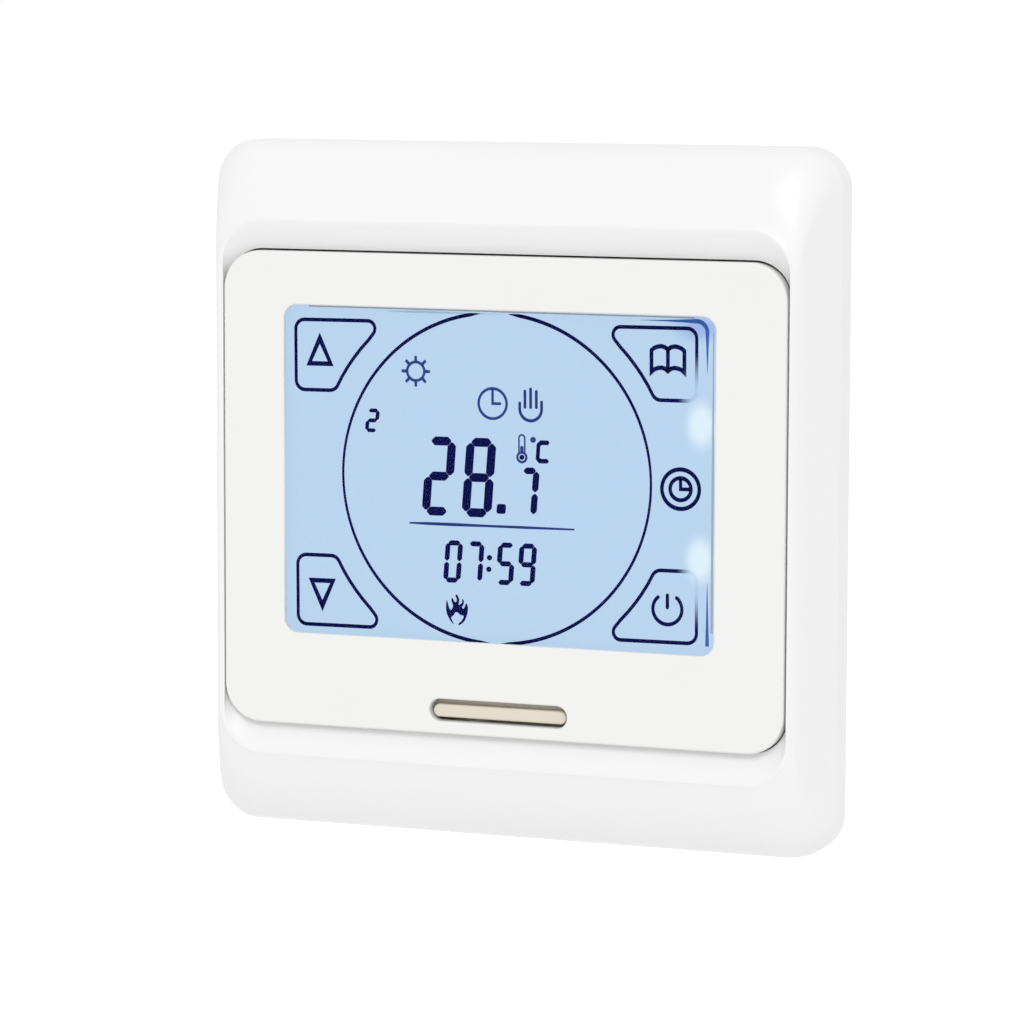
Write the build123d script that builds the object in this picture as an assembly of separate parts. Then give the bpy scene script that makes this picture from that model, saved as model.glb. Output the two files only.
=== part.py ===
from build123d import *
import os

# Wall thermostat for a flush box: a plug-on display module, a loose decorative frame
# and a power base screwed to a steel mounting plate. Millimetres. X runs right, Z up,
# and -Y out into the room. The origin is the middle of the wall plane (y = 0), so
# what stands proud of the wall has negative y and what goes into the box positive y.

# Outside sizes
FACE_WIDTH = 86.0
FACE_HEIGHT = 90.0
FACE_DEPTH = 12.0
REAR_DEPTH = 31.0
FRONT_Y = -FACE_DEPTH

# Decorative frame: (depth, half width, half height, corner) of its cross-sections
FRAME_WALL_DEPTH = 4.0
FRAME_CORNER = 5.4
FRAME_RIDGE_DEPTH = FACE_DEPTH
FRAME_SECTIONS = (
    (FRAME_WALL_DEPTH, FACE_WIDTH / 2, FACE_HEIGHT / 2, FRAME_CORNER),
    (5.6, 42.35, 44.85, 5.5),
    (7.2, 41.7, 44.1, 5.7),
    (8.6, 41.14, 42.6, 5.9),
    (9.9, 40.62, 40.5, 6.0),
    (11.1, 40.1, 37.7, 6.05),
    (FRAME_RIDGE_DEPTH, 39.35, 34.95, 6.0),
)
FRAME_THICKNESS = 2.0
# The module sits a little low and to the left in the opening
OPENING_SHIFT = 0.1
OPENING_WIDTH = 77.5
OPENING_HEIGHT = 62.0
OPENING_CORNER = 5.05
# Slopes above and below the cover: (depth, run beyond the opening, added corner radius)
BEVEL_RIM = 0.05
BEVEL_SECTIONS = (
    (10.7, 0.0, 0.0),
    (11.88, 3.2, 0.3),
    (FRAME_RIDGE_DEPTH, 3.65, 0.35),
)
CUT_OVERRUN = 1.0
COLLAR_SIDE = 2.2
COLLAR_TOP = 1.6
LEDGE_FRONT_Y = -2.6
LEDGE_BACK_Y = -1.2
LEDGE_GAP_WIDTH = 71.0

# Display module
COVER_WIDTH = 77.2
COVER_HEIGHT = 61.7
COVER_CORNER = 5.0
COVER_EDGE = 0.35
COVER_WALL = 1.6
COVER_BACK_Y = -2.9
COVER_PLATE_Y = -10.3
WINDOW_X = -0.4
WINDOW_Z = 2.6
WINDOW_WIDTH = 59.2
WINDOW_HEIGHT = 42.7
WINDOW_CORNER = 1.8
WINDOW_EDGE = 0.25
LIP_BACK_Y = -11.4
PANEL_WIDTH = 63.4
PANEL_HEIGHT = 46.9
PANEL_FRONT_Y = -11.15
PANEL_BACK_Y = -10.15
PANEL_PLAY = 0.6
LCD_WIDTH = 60.4
LCD_HEIGHT = 43.9
LCD_FRONT_Y = -10.05
LCD_BACK_Y = -7.85
GUIDE_HEIGHT = 40.4
GUIDE_FRONT_Y = -7.75
GUIDE_BACK_Y = -6.25
CARRIER_WALL = 1.2
CARRIER_PLAY = 0.2
CARRIER_FRONT_Y = -10.1
BOARD_FRONT_Y = -6.0
BOARD_BACK_Y = -4.8
BOARD_WIDTH = 73.2
BOARD_HEIGHT = 57.4
BACK_WIDTH = 73.4
BACK_HEIGHT = 57.9
BACK_FRONT_Y = -4.4
BOSS_WIDTH = 42.0
BOSS_HEIGHT = 40.0
BOSS_BACK_Y = 3.0
BOSS_WALL = 1.4
MODULE_SCREW_X = 34.0
MODULE_SCREW_Z = 24.0
MODULE_SCREW_RADIUS = 0.85
MODULE_HEAD_RADIUS = 1.7
MODULE_HEAD_DEPTH = 1.0
LED_HEIGHTS = (11.0, -6.5)

# Slot under the window and the release catch behind it
SLOT_WIDTH = 19.0
SLOT_HEIGHT = 2.9
SLOT_Z = -27.75
CATCH_PIVOT_Y = -8.6
CATCH_PIVOT_Z = -24.0
CATCH_WIDTH = 22.0
BUTTON_WIDTH = 18.4
BUTTON_HEIGHT = 1.7
BUTTON_Z = -27.9
BUTTON_FRONT_Y = -11.3
BUTTON_EDGE = 0.25
CATCH_ARM_WIDTH = 14.0
CATCH_PIN_RADIUS = 0.9
CATCH_BORE_RADIUS = 0.95
CATCH_EAR_X = 12.9
CATCH_EAR_WIDTH = 1.2
CATCH_NOTCH_WIDTH = 17.0
CATCH_NOTCH_Z = -29.1

# Plug connection between the module and the base
PIN_COUNT = 10
PIN_PITCH = 2.54
PIN_SIDE = 0.64
PIN_TIP_Y = 6.6
PIN_ROW_Z = -14.0
SOCKET_SIDE = 0.8

# Mounting plate and base
PLATE_SIDE = 71.0
PLATE_THICKNESS = 1.0
PLATE_CORNER = 4.0
PLATE_OPENING = 51.2
BOX_SCREW_SPACING = 60.0
BOX_SLOT_RADIUS = 2.1
BOX_SLOT_LENGTH = 7.0
HOUSING_SIDE = 50.5
HOUSING_WALL = 1.6
HOUSING_CORNER = 4.0
FLANGE_WIDTH = 52.0
FLANGE_HEIGHT = 60.0
FLANGE_FRONT_Y = -2.6
RECESS_FLOOR_Y = 3.4
RECESS_PLAY = 0.5
RECESS_WALL = 1.2
PLATE_SCREW_X = 20.0
PLATE_SCREW_Z = 28.0
PLATE_SCREW_RADIUS = 1.2
PLATE_HEAD_RADIUS = 1.7
POWER_FRONT_Y = 7.5
POWER_BACK_Y = 9.1
POWER_SIDE = 46.6

# Terminal block with rising-cage clamps, on the lower step of the housing
STEP_Y = 21.0
STEP_Z = -12.4
POLE_COUNT = 6
POLE_PITCH = 7.5
BLOCK_WIDTH = 45.4
BLOCK_LOW_Z = -24.9
BLOCK_HIGH_Z = -13.1
CAVITY_WIDTH = 5.9
CAVITY_LENGTH = 8.0
CAVITY_FRONT_Y = 9.9
CAVITY_BACK_Y = 18.0
POLE_Z = -18.6
WIRE_HOLE_RADIUS = 1.9
WIRE_Y = 12.5
CAGE_WIDTH = 5.5
CAGE_WALL = 0.7
CAGE_LENGTH = 5.6
CAGE_FRONT_Y = 10.2
CAGE_FLOOR = 0.8
CAGE_ROOF_Y = 14.9
CAGE_BACK_Y = 16.1
BUSBAR_FRONT_Y = 14.0
BUSBAR_BACK_Y = 14.7
SCREW_RADIUS = 1.45
SCREW_HEAD_RADIUS = 2.3
SCREW_HEAD_Y = 18.6
SCREW_TOP_Y = 20.4
SCREW_PLAY = 0.08

# Relay on the power board
RELAY_X = -11.5
RELAY_Z = 11.0
RELAY_WIDTH = 20.0
RELAY_HEIGHT = 15.4
RELAY_BACK_Y = 25.0
RELAY_WALL = 0.8
ARMATURE_Y = 21.0
ARMATURE_THICKNESS = 1.0
ARMATURE_PLAY = 0.1
ARMATURE_END_X = -7.0
YOKE_X = -19.3


def facing(y, x=0.0, z=0.0):
    """Sketch plane that looks out into the room at depth y."""
    return Plane(origin=(x, y, z), x_dir=(1, 0, 0), z_dir=(0, -1, 0))


def slab(outline, front, back, x=0.0, z=0.0):
    """Solid of a front-view outline from depth front to the larger depth back."""
    return extrude(facing(back, x, z) * outline, amount=back - front)


def block(x_span, y_span, z_span):
    """Box between two values on each axis."""
    low = Vector(x_span[0], y_span[0], z_span[0])
    size = Vector(x_span[1], y_span[1], z_span[1]) - low
    return Pos(low.X, low.Y, low.Z) * Box(
        size.X, size.Y, size.Z, align=(Align.MIN, Align.MIN, Align.MIN)
    )


def around(centre, width):
    """Span of a given width around a centre."""
    return (centre - width / 2, centre + width / 2)


def rod_x(radius, x_span, y, z):
    """Round rod along X."""
    plane = Plane(origin=(x_span[0], y, z), x_dir=(0, 1, 0), z_dir=(1, 0, 0))
    return extrude(plane * Circle(radius), amount=x_span[1] - x_span[0])


def rod_z(radius, z_span, x, y):
    """Round rod along Z."""
    return extrude(Plane(origin=(x, y, z_span[0])) * Circle(radius), amount=z_span[1] - z_span[0])


def together(pieces):
    """Several separate solids as one node."""
    return Part() + list(pieces)


def corners(x, z):
    """The four points at plus and minus x and z."""
    return [(side * x, level * z) for side in (-1, 1) for level in (-1, 1)]


# ---- Decorative frame --------------------------------------------------------

def frame_body(inset):
    """Domed body of the frame, made smaller on every side by inset."""
    def section(depth, half_width, half_height, corner):
        outline = RectangleRounded(2 * (half_width - inset), 2 * (half_height - inset), corner - inset / 2)
        return facing(-(depth - inset)) * outline

    dome = loft([section(*values) for values in FRAME_SECTIONS])
    wall_outline = RectangleRounded(FACE_WIDTH - 2 * inset, FACE_HEIGHT - 2 * inset, FRAME_CORNER - inset / 2)
    return slab(wall_outline, -(FRAME_WALL_DEPTH - inset), 0.0) + dome


def in_opening(shape):
    """The shape moved from the module's middle to the middle of the opening."""
    return Pos(OPENING_SHIFT, 0, OPENING_SHIFT) * shape


def bevel_pocket():
    """Slopes above and below the cover, from the ridge of the frame down to the cover's edge."""
    def section(depth, run, growth):
        return facing(-depth) * RectangleRounded(
            OPENING_WIDTH + 2 * BEVEL_RIM,
            OPENING_HEIGHT + 2 * (BEVEL_RIM + run),
            OPENING_CORNER + BEVEL_RIM + growth,
        )

    last_depth, last_run, last_growth = BEVEL_SECTIONS[-1]
    sections = [section(*values) for values in BEVEL_SECTIONS]
    sections.append(section(last_depth + CUT_OVERRUN, last_run, last_growth))
    return loft(sections, ruled=True)


def decor_frame():
    """Frame around the cover, hollow behind, with a ledge that the module holds down."""
    outside = frame_body(0.0)
    collar = slab(
        RectangleRounded(OPENING_WIDTH + 2 * COLLAR_SIDE, OPENING_HEIGHT + 2 * COLLAR_TOP, OPENING_CORNER),
        -FRAME_RIDGE_DEPTH, LEDGE_BACK_Y,
    )
    frame = (outside - frame_body(FRAME_THICKNESS)) + (collar & outside)
    cover_hole = RectangleRounded(OPENING_WIDTH, OPENING_HEIGHT, OPENING_CORNER)
    rear_hole = RectangleRounded(LEDGE_GAP_WIDTH, OPENING_HEIGHT, 2.0)
    frame -= in_opening(slab(cover_hole, -FRAME_RIDGE_DEPTH - CUT_OVERRUN, LEDGE_FRONT_Y))
    frame -= slab(rear_hole, LEDGE_FRONT_Y, 0.0)
    return frame - in_opening(bevel_pocket())


# ---- Display module ----------------------------------------------------------

def front_cover():
    """Front shell of the module with the display window and the release slot."""
    outline = RectangleRounded(COVER_WIDTH, COVER_HEIGHT, COVER_CORNER)
    cover = slab(outline, FRONT_Y, COVER_BACK_Y)
    cover = fillet(cover.edges().group_by(Axis.Y)[0], COVER_EDGE)
    cover -= slab(
        RectangleRounded(
            COVER_WIDTH - 2 * COVER_WALL, COVER_HEIGHT - 2 * COVER_WALL, COVER_CORNER - COVER_WALL
        ),
        COVER_PLATE_Y, COVER_BACK_Y,
    )
    panel_pocket = RectangleRounded(PANEL_WIDTH + PANEL_PLAY, PANEL_HEIGHT + PANEL_PLAY, WINDOW_CORNER)
    cover -= slab(panel_pocket, LIP_BACK_Y, COVER_PLATE_Y, WINDOW_X, WINDOW_Z)
    window = RectangleRounded(WINDOW_WIDTH, WINDOW_HEIGHT, WINDOW_CORNER)
    cover -= slab(window, FRONT_Y, LIP_BACK_Y, WINDOW_X, WINDOW_Z)
    cover -= slab(SlotOverall(SLOT_WIDTH, SLOT_HEIGHT), FRONT_Y, COVER_PLATE_Y, 0.0, SLOT_Z)

    def opening_rim(edge):
        centre = edge.center()
        return abs(centre.X) < WINDOW_WIDTH / 2 + 1 and centre.Z < WINDOW_Z + WINDOW_HEIGHT / 2 + 1

    front_edges = cover.edges().group_by(Axis.Y)[0]
    rims = [edge for edge in front_edges if opening_rim(edge) and edge.center().Z > -29.5]
    cover = fillet(rims, WINDOW_EDGE)

    for x, z in corners(MODULE_SCREW_X, MODULE_SCREW_Z):
        cover += slab(Circle(2.0), COVER_PLATE_Y, BOARD_FRONT_Y, x, z)
        cover -= slab(Circle(MODULE_SCREW_RADIUS), -9.0, BOARD_FRONT_Y, x, z)
    for side in (-1, 1):
        ear = block(around(side * CATCH_EAR_X, CATCH_EAR_WIDTH), (COVER_PLATE_Y, -7.2), (-25.6, -22.6))
        cover += ear - rod_x(CATCH_BORE_RADIUS, (-20, 20), CATCH_PIVOT_Y, CATCH_PIVOT_Z)
    return cover


def touch_gasket():
    """Thin foam ring between the cover's lip and the touch panel."""
    ring = slab(RectangleRounded(PANEL_WIDTH, PANEL_HEIGHT, 1.5), LIP_BACK_Y, PANEL_FRONT_Y, WINDOW_X, WINDOW_Z)
    hole = RectangleRounded(WINDOW_WIDTH + 1.2, WINDOW_HEIGHT + 1.2, WINDOW_CORNER)
    return ring - slab(hole, LIP_BACK_Y, PANEL_FRONT_Y, WINDOW_X, WINDOW_Z)


def touch_panel():
    """Clear touch-sensing pane."""
    outline = RectangleRounded(PANEL_WIDTH, PANEL_HEIGHT, 1.5)
    return slab(outline, PANEL_FRONT_Y, PANEL_BACK_Y, WINDOW_X, WINDOW_Z)


def lcd_glass():
    """Liquid-crystal cell: a front pane and a slightly longer rear pane."""
    middle = (LCD_FRONT_Y + LCD_BACK_Y) / 2
    step = 1.2
    rear = slab(Rectangle(LCD_WIDTH, LCD_HEIGHT), middle, LCD_BACK_Y, WINDOW_X, WINDOW_Z)
    front = slab(Rectangle(LCD_WIDTH, LCD_HEIGHT - step), LCD_FRONT_Y, middle, WINDOW_X, WINDOW_Z + step / 2)
    return rear + front


def light_guide():
    """Diffusing acrylic plate lit from its right edge."""
    z = WINDOW_Z + (LCD_HEIGHT - GUIDE_HEIGHT) / 2 - 0.1
    return slab(Rectangle(LCD_WIDTH - 0.2, GUIDE_HEIGHT), GUIDE_FRONT_Y, GUIDE_BACK_Y, WINDOW_X, z)


def led_span():
    """Width span of the side-view LEDs beside the light guide."""
    start = WINDOW_X + LCD_WIDTH / 2 + 0.05
    return (start, start + 1.0)


def backlight_leds():
    """Side-view LEDs soldered to the board."""
    return together(
        block(led_span(), (-7.6, BOARD_FRONT_Y), around(height, 3.6)) for height in LED_HEIGHTS
    )


def display_carrier():
    """Plastic ring that holds the LCD and the light guide off the board."""
    inner_width = LCD_WIDTH + 2 * CARRIER_PLAY
    inner_height = LCD_HEIGHT + 2 * CARRIER_PLAY
    ring = slab(
        RectangleRounded(inner_width + 2 * CARRIER_WALL, inner_height + 2 * CARRIER_WALL, 1.5),
        CARRIER_FRONT_Y, BOARD_FRONT_Y, WINDOW_X, WINDOW_Z,
    )
    ring -= slab(Rectangle(inner_width, inner_height), CARRIER_FRONT_Y, BOARD_FRONT_Y, WINDOW_X, WINDOW_Z)
    start, end = led_span()
    for height in LED_HEIGHTS:
        ring -= block((start - 0.2, end + 0.1), (-7.9, BOARD_FRONT_Y), around(height, 4.0))
    return ring


def zebra_connector():
    """Conductive rubber strip that joins the LCD's contacts to the board."""
    low = WINDOW_Z - LCD_HEIGHT / 2 + 0.3
    return block(around(WINDOW_X, 56.0), (LCD_BACK_Y, BOARD_FRONT_Y), (low, low + 1.8))


def control_board():
    """Printed circuit board of the module, notched for the catch's arm."""
    board = slab(RectangleRounded(BOARD_WIDTH, BOARD_HEIGHT, 3.0), BOARD_FRONT_Y, BOARD_BACK_Y)
    board -= block(around(0, CATCH_NOTCH_WIDTH), (BOARD_FRONT_Y, BOARD_BACK_Y), (-30.0, -24.6))
    for x, z in corners(MODULE_SCREW_X, MODULE_SCREW_Z):
        board -= slab(Circle(1.1), BOARD_FRONT_Y, BOARD_BACK_Y, x, z)
    return board


def microcontroller():
    """Square chip with leads on its four sides."""
    x, z, side, rise = -8.5, 11.5, 10.0, 1.4
    lead_count, lead_pitch, lead_reach = 11, 0.8, 0.9
    chip = slab(RectangleRounded(side, side, 0.3), BOARD_BACK_Y + 0.1, BOARD_BACK_Y + rise, x, z)
    for lead in range(lead_count):
        offset = (lead - (lead_count - 1) / 2) * lead_pitch
        lead_depth = (BOARD_BACK_Y, BOARD_BACK_Y + 0.5)
        chip += block(around(x + offset, 0.36), lead_depth, around(z, side + 2 * lead_reach))
        chip += block(around(x, side + 2 * lead_reach), lead_depth, around(z + offset, 0.36))
    return chip


def quartz_crystal():
    """Metal can of the clock crystal."""
    can = slab(SlotOverall(11.0, 4.4), BOARD_BACK_Y, BOARD_BACK_Y + 3.4, 8.0, 13.5)
    rim = slab(SlotOverall(11.6, 5.0), BOARD_BACK_Y, BOARD_BACK_Y + 0.5, 8.0, 13.5)
    return can + rim


def buzzer():
    """Round key-tone buzzer with a sound hole."""
    x, z = 11.0, 1.0
    body = slab(Circle(6.0), BOARD_BACK_Y, BOARD_BACK_Y + 5.6, x, z)
    body = fillet(body.edges().group_by(Axis.Y)[-1], 0.5)
    return body - slab(Circle(1.0), BOARD_BACK_Y + 4.4, BOARD_BACK_Y + 5.6, x, z)


def backup_cell():
    """Coin cell that keeps the clock running, with its welded tab."""
    x, z = -9.0, -3.0
    cell = slab(Circle(8.0), BOARD_BACK_Y + 0.2, BOARD_BACK_Y + 1.6, x, z)
    cap = slab(Circle(7.2), BOARD_BACK_Y + 1.6, BOARD_BACK_Y + 3.2, x, z)
    foot = slab(Rectangle(3.0, 3.0), BOARD_BACK_Y, BOARD_BACK_Y + 0.2, x, z)
    tab = slab(Rectangle(3.0, 15.0), BOARD_BACK_Y + 3.2, BOARD_BACK_Y + 3.5, x, z)
    return cell + cap + foot + tab


def air_sensor():
    """Bead thermistor on two bent leads beside the slot."""
    x, z = 18.0, -26.0
    leads = [rod_y(0.25, (-8.2, BOARD_FRONT_Y), x + side * 0.9, z) for side in (-1, 1)]
    bead = Pos(x, -8.6, z) * Sphere(1.4)
    return bead + leads


def rod_y(radius, y_span, x, z):
    """Round rod along Y."""
    return slab(Circle(radius), y_span[0], y_span[1], x, z)


def pin_positions():
    """X of every pin in the plug row."""
    return [(index - (PIN_COUNT - 1) / 2) * PIN_PITCH for index in range(PIN_COUNT)]


def pin_row(side, y_span):
    """Square pins, or the holes for them, in one row."""
    return [block(around(x, side), y_span, around(PIN_ROW_Z, side)) for x in pin_positions()]


def header_base():
    """Plastic strip that holds the pins."""
    length = PIN_COUNT * PIN_PITCH + 0.4
    strip = block(around(0, length), (BOARD_BACK_Y, -2.3), around(PIN_ROW_Z, 2.5))
    return strip - pin_row(PIN_SIDE, (BOARD_BACK_Y, -2.3))


def header_pins():
    """Gilded plug pins."""
    return together(pin_row(PIN_SIDE, (BOARD_BACK_Y, PIN_TIP_Y)))


def module_back():
    """Rear shell of the module, with a boss that fits the recess of the base."""
    shell = slab(RectangleRounded(BACK_WIDTH, BACK_HEIGHT, 3.2), BACK_FRONT_Y, COVER_BACK_Y)
    shell += slab(RectangleRounded(BOSS_WIDTH, BOSS_HEIGHT, 3.0), BACK_FRONT_Y, BOSS_BACK_Y)
    shell -= slab(
        RectangleRounded(BOSS_WIDTH - 2 * BOSS_WALL, BOSS_HEIGHT - 2 * BOSS_WALL, 1.6),
        BACK_FRONT_Y, BOSS_BACK_Y - BOSS_WALL,
    )
    shell -= block(around(0, 27.0), (0, BOSS_BACK_Y), around(PIN_ROW_Z, 3.6))
    for level in range(5):
        shell -= slab(SlotOverall(22.0, 1.4), 0, BOSS_BACK_Y, 0.0, 2.0 + 3.2 * level)
    shell -= block(around(0, CATCH_NOTCH_WIDTH), (BACK_FRONT_Y, COVER_BACK_Y), (-30.0, -24.3))
    for x, z in corners(MODULE_SCREW_X, MODULE_SCREW_Z):
        shell += slab(Circle(1.9), BOARD_BACK_Y, BACK_FRONT_Y, x, z)
        shell -= slab(Circle(1.0), BOARD_BACK_Y, COVER_BACK_Y, x, z)
        shell -= slab(Circle(MODULE_HEAD_RADIUS + 0.15), COVER_BACK_Y - MODULE_HEAD_DEPTH, COVER_BACK_Y, x, z)
    return shell


def cross_recess(y, depth, span, x, z):
    """Cross cut for a screwdriver, cut from depth y towards the tip of the screw."""
    arms = Rectangle(span, span / 4) + Rectangle(span / 4, span)
    return slab(arms, y - depth, y, x, z)


def module_screws():
    """Self-tapping screws that hold the module's two shells together."""
    screws = []
    for x, z in corners(MODULE_SCREW_X, MODULE_SCREW_Z):
        seat = COVER_BACK_Y - MODULE_HEAD_DEPTH
        head = slab(Circle(MODULE_HEAD_RADIUS), seat, COVER_BACK_Y, x, z)
        shank = slab(Circle(MODULE_SCREW_RADIUS), -8.8, seat, x, z)
        screws.append(head + shank - cross_recess(COVER_BACK_Y, 0.6, 2.2, x, z))
    return together(screws)


def release_catch():
    """Rocking catch: the pad behind the slot is pushed in and the rear nose lifts."""
    barrel = rod_x(1.3, around(0, CATCH_WIDTH + 1.6), CATCH_PIVOT_Y, CATCH_PIVOT_Z)
    pins = rod_x(CATCH_PIN_RADIUS, around(0, 2 * CATCH_EAR_X + 1.0), CATCH_PIVOT_Y, CATCH_PIVOT_Z)
    pad = block(around(0, CATCH_WIDTH), (-10.0, -8.8), (-28.75, -24.4))
    button = slab(SlotOverall(BUTTON_WIDTH, BUTTON_HEIGHT), BUTTON_FRONT_Y, -9.6, 0.0, BUTTON_Z)
    button = fillet(button.edges().group_by(Axis.Y)[0], BUTTON_EDGE)
    arm = block(around(0, CATCH_ARM_WIDTH), (-9.0, 1.5), (-27.5, -26.5))
    nose_profile = Polyline((0.3, -27.4), (1.5, -27.4), (1.5, -27.7), (0.7, -28.6), (0.3, -28.6), close=True)
    nose_plane = Plane(origin=(-CATCH_ARM_WIDTH / 2, 0, 0), x_dir=(0, 1, 0), z_dir=(1, 0, 0))
    nose = extrude(nose_plane * make_face(nose_profile), amount=CATCH_ARM_WIDTH)
    return barrel + pins + pad + button + arm + nose


# ---- Base --------------------------------------------------------------------

def mounting_plate():
    """Steel plate screwed to the wall box, open in the middle for the base."""
    outline = RectangleRounded(PLATE_SIDE, PLATE_SIDE, PLATE_CORNER)
    plate = slab(outline, -PLATE_THICKNESS, 0.0)
    plate -= slab(RectangleRounded(PLATE_OPENING, PLATE_OPENING, HOUSING_CORNER), -PLATE_THICKNESS, 0.0)
    plate -= block(around(0, CATCH_NOTCH_WIDTH), (-PLATE_THICKNESS, 0.0), (CATCH_NOTCH_Z, -25.0))
    for side in (-1, 1):
        slot = SlotOverall(BOX_SLOT_LENGTH, 2 * BOX_SLOT_RADIUS)
        plate -= slab(slot, -PLATE_THICKNESS, 0.0, side * BOX_SCREW_SPACING / 2, 0.0)
    for x, z in corners(PLATE_SCREW_X, PLATE_SCREW_Z):
        plate -= slab(Circle(PLATE_SCREW_RADIUS), -PLATE_THICKNESS, 0.0, x, z)
    return plate


def plate_screws():
    """Countersunk screws that hold the base to the plate."""
    screws = []
    for x, z in corners(PLATE_SCREW_X, PLATE_SCREW_Z):
        head = slab(Circle(PLATE_HEAD_RADIUS), FLANGE_FRONT_Y + 0.1, -1.7, x, z)
        shank = slab(Circle(PLATE_SCREW_RADIUS), -1.7, -0.05, x, z)
        cut = slab(Rectangle(2.4, 0.5) + Rectangle(0.5, 2.4), FLANGE_FRONT_Y, FLANGE_FRONT_Y + 0.5, x, z)
        screws.append(head + shank - cut)
    return together(screws)


def base_cover():
    """Front of the base: a flange on the plate and a recess for the module's boss."""
    recess_width = BOSS_WIDTH + 2 * RECESS_PLAY
    recess_height = BOSS_HEIGHT + 2 * RECESS_PLAY
    floor_back = RECESS_FLOOR_Y + RECESS_WALL
    cover = slab(RectangleRounded(FLANGE_WIDTH, FLANGE_HEIGHT, 2.0), FLANGE_FRONT_Y, -PLATE_THICKNESS)
    cover += slab(
        RectangleRounded(recess_width + 2 * RECESS_WALL, recess_height + 2 * RECESS_WALL, 4.0),
        FLANGE_FRONT_Y, floor_back,
    )
    cover -= slab(RectangleRounded(recess_width, recess_height, 3.0), FLANGE_FRONT_Y, RECESS_FLOOR_Y)
    cover -= block(around(0, 27.4), (0, floor_back), around(PIN_ROW_Z, 4.2))
    cover -= block(around(0, CATCH_NOTCH_WIDTH), (FLANGE_FRONT_Y, -PLATE_THICKNESS), (CATCH_NOTCH_Z, -25.7))
    for x, z in corners(PLATE_SCREW_X, PLATE_SCREW_Z):
        cover -= slab(Circle(PLATE_SCREW_RADIUS + 0.1), FLANGE_FRONT_Y, -PLATE_THICKNESS, x, z)
        cover -= slab(Circle(PLATE_HEAD_RADIUS + 0.2), FLANGE_FRONT_Y, -1.7, x, z)
    for x, z in corners(20.0, 18.5):
        cover += slab(Circle(1.8), floor_back, POWER_FRONT_Y, x, z)
    return cover


def rear_housing():
    """Box that goes into the wall, stepped below for the terminals."""
    step = block((-40, 40), (STEP_Y, 40), (-40, STEP_Z))
    inner_step = block((-40, 40), (STEP_Y - HOUSING_WALL, 40), (-40, STEP_Z + HOUSING_WALL))
    inner_side = HOUSING_SIDE - 2 * HOUSING_WALL
    outside = slab(RectangleRounded(HOUSING_SIDE, HOUSING_SIDE, HOUSING_CORNER), -PLATE_THICKNESS, REAR_DEPTH)
    outside = fillet(outside.edges().group_by(Axis.Y)[-1], 1.5)
    inside = slab(
        RectangleRounded(inner_side, inner_side, HOUSING_CORNER - HOUSING_WALL),
        -PLATE_THICKNESS, REAR_DEPTH - HOUSING_WALL,
    )
    housing = (outside - step) - (inside - inner_step)
    housing -= block(around(0, BLOCK_WIDTH + 0.6), (POWER_BACK_Y - 0.2, 40), (-40, BLOCK_HIGH_Z + 0.3))
    for x in (-21.6, 21.6):
        housing += slab(Circle(1.6), POWER_BACK_Y, REAR_DEPTH - HOUSING_WALL, x, 21.6)
    for level in range(4):
        x_centre = -12.0 + 8.0 * level
        housing -= block(around(x_centre, 1.6), (12.0, 26.0), (20.0, 40.0))
    return housing


def power_board():
    """Printed circuit board of the mains side."""
    outline = RectangleRounded(POWER_SIDE, POWER_SIDE, 2.0)
    return slab(outline, POWER_FRONT_Y, POWER_BACK_Y)


def board_socket():
    """Socket strip for the module's pins."""
    length = PIN_COUNT * PIN_PITCH + 0.8
    strip = block(around(0, length), (3.7, POWER_FRONT_Y), around(PIN_ROW_Z, 3.2))
    return strip - pin_row(SOCKET_SIDE, (3.7, 7.0))


# ---- Relay -------------------------------------------------------------------

def relay_case():
    """Moulded cover of the relay, open towards the board."""
    case = slab(RectangleRounded(RELAY_WIDTH, RELAY_HEIGHT, 0.8), POWER_BACK_Y + 0.1, RELAY_BACK_Y, RELAY_X, RELAY_Z)
    inner = Rectangle(RELAY_WIDTH - 2 * RELAY_WALL, RELAY_HEIGHT - 2 * RELAY_WALL)
    return case - slab(inner, POWER_BACK_Y + 0.1, RELAY_BACK_Y - RELAY_WALL, RELAY_X, RELAY_Z)


def relay_base():
    """Floor of the relay."""
    floor = Rectangle(RELAY_WIDTH - 2 * RELAY_WALL - 0.2, RELAY_HEIGHT - 2 * RELAY_WALL - 0.2)
    return slab(floor, POWER_BACK_Y, 10.6, RELAY_X, RELAY_Z)


def relay_coil():
    """Wound bobbin with its iron core."""
    x = RELAY_X - 1.5
    bobbin = slab(Circle(4.9), 11.0, 11.7, x, RELAY_Z) + slab(Circle(4.9), 19.2, 19.9, x, RELAY_Z)
    return bobbin + slab(Circle(4.4), 11.7, 19.2, x, RELAY_Z) + slab(Circle(1.8), 11.0, 20.5, x, RELAY_Z)


def relay_yoke():
    """Iron angle beside the coil; the armature rocks on its edge."""
    upright = block((YOKE_X - 0.6, YOKE_X + 0.6), (10.6, ARMATURE_Y - ARMATURE_PLAY), around(RELAY_Z, 9.0))
    foot = block((YOKE_X - 0.6, RELAY_X + 3.4), (10.6, 11.0), around(RELAY_Z, 9.0))
    return upright + foot


def relay_contacts():
    """Two fixed contact springs with their rivets."""
    blades = []
    for side in (-1, 1):
        z_span = around(RELAY_Z + side * 3.0, 3.6)
        blade = block((-4.0, -3.5), (10.6, 19.6), z_span)
        blade += block((-6.4, -3.5), (19.2, 19.6), z_span)
        blade += slab(Circle(1.0), 19.6, 20.1, -5.4, RELAY_Z + side * 3.0)
        blades.append(blade)
    return together(blades)


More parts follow.
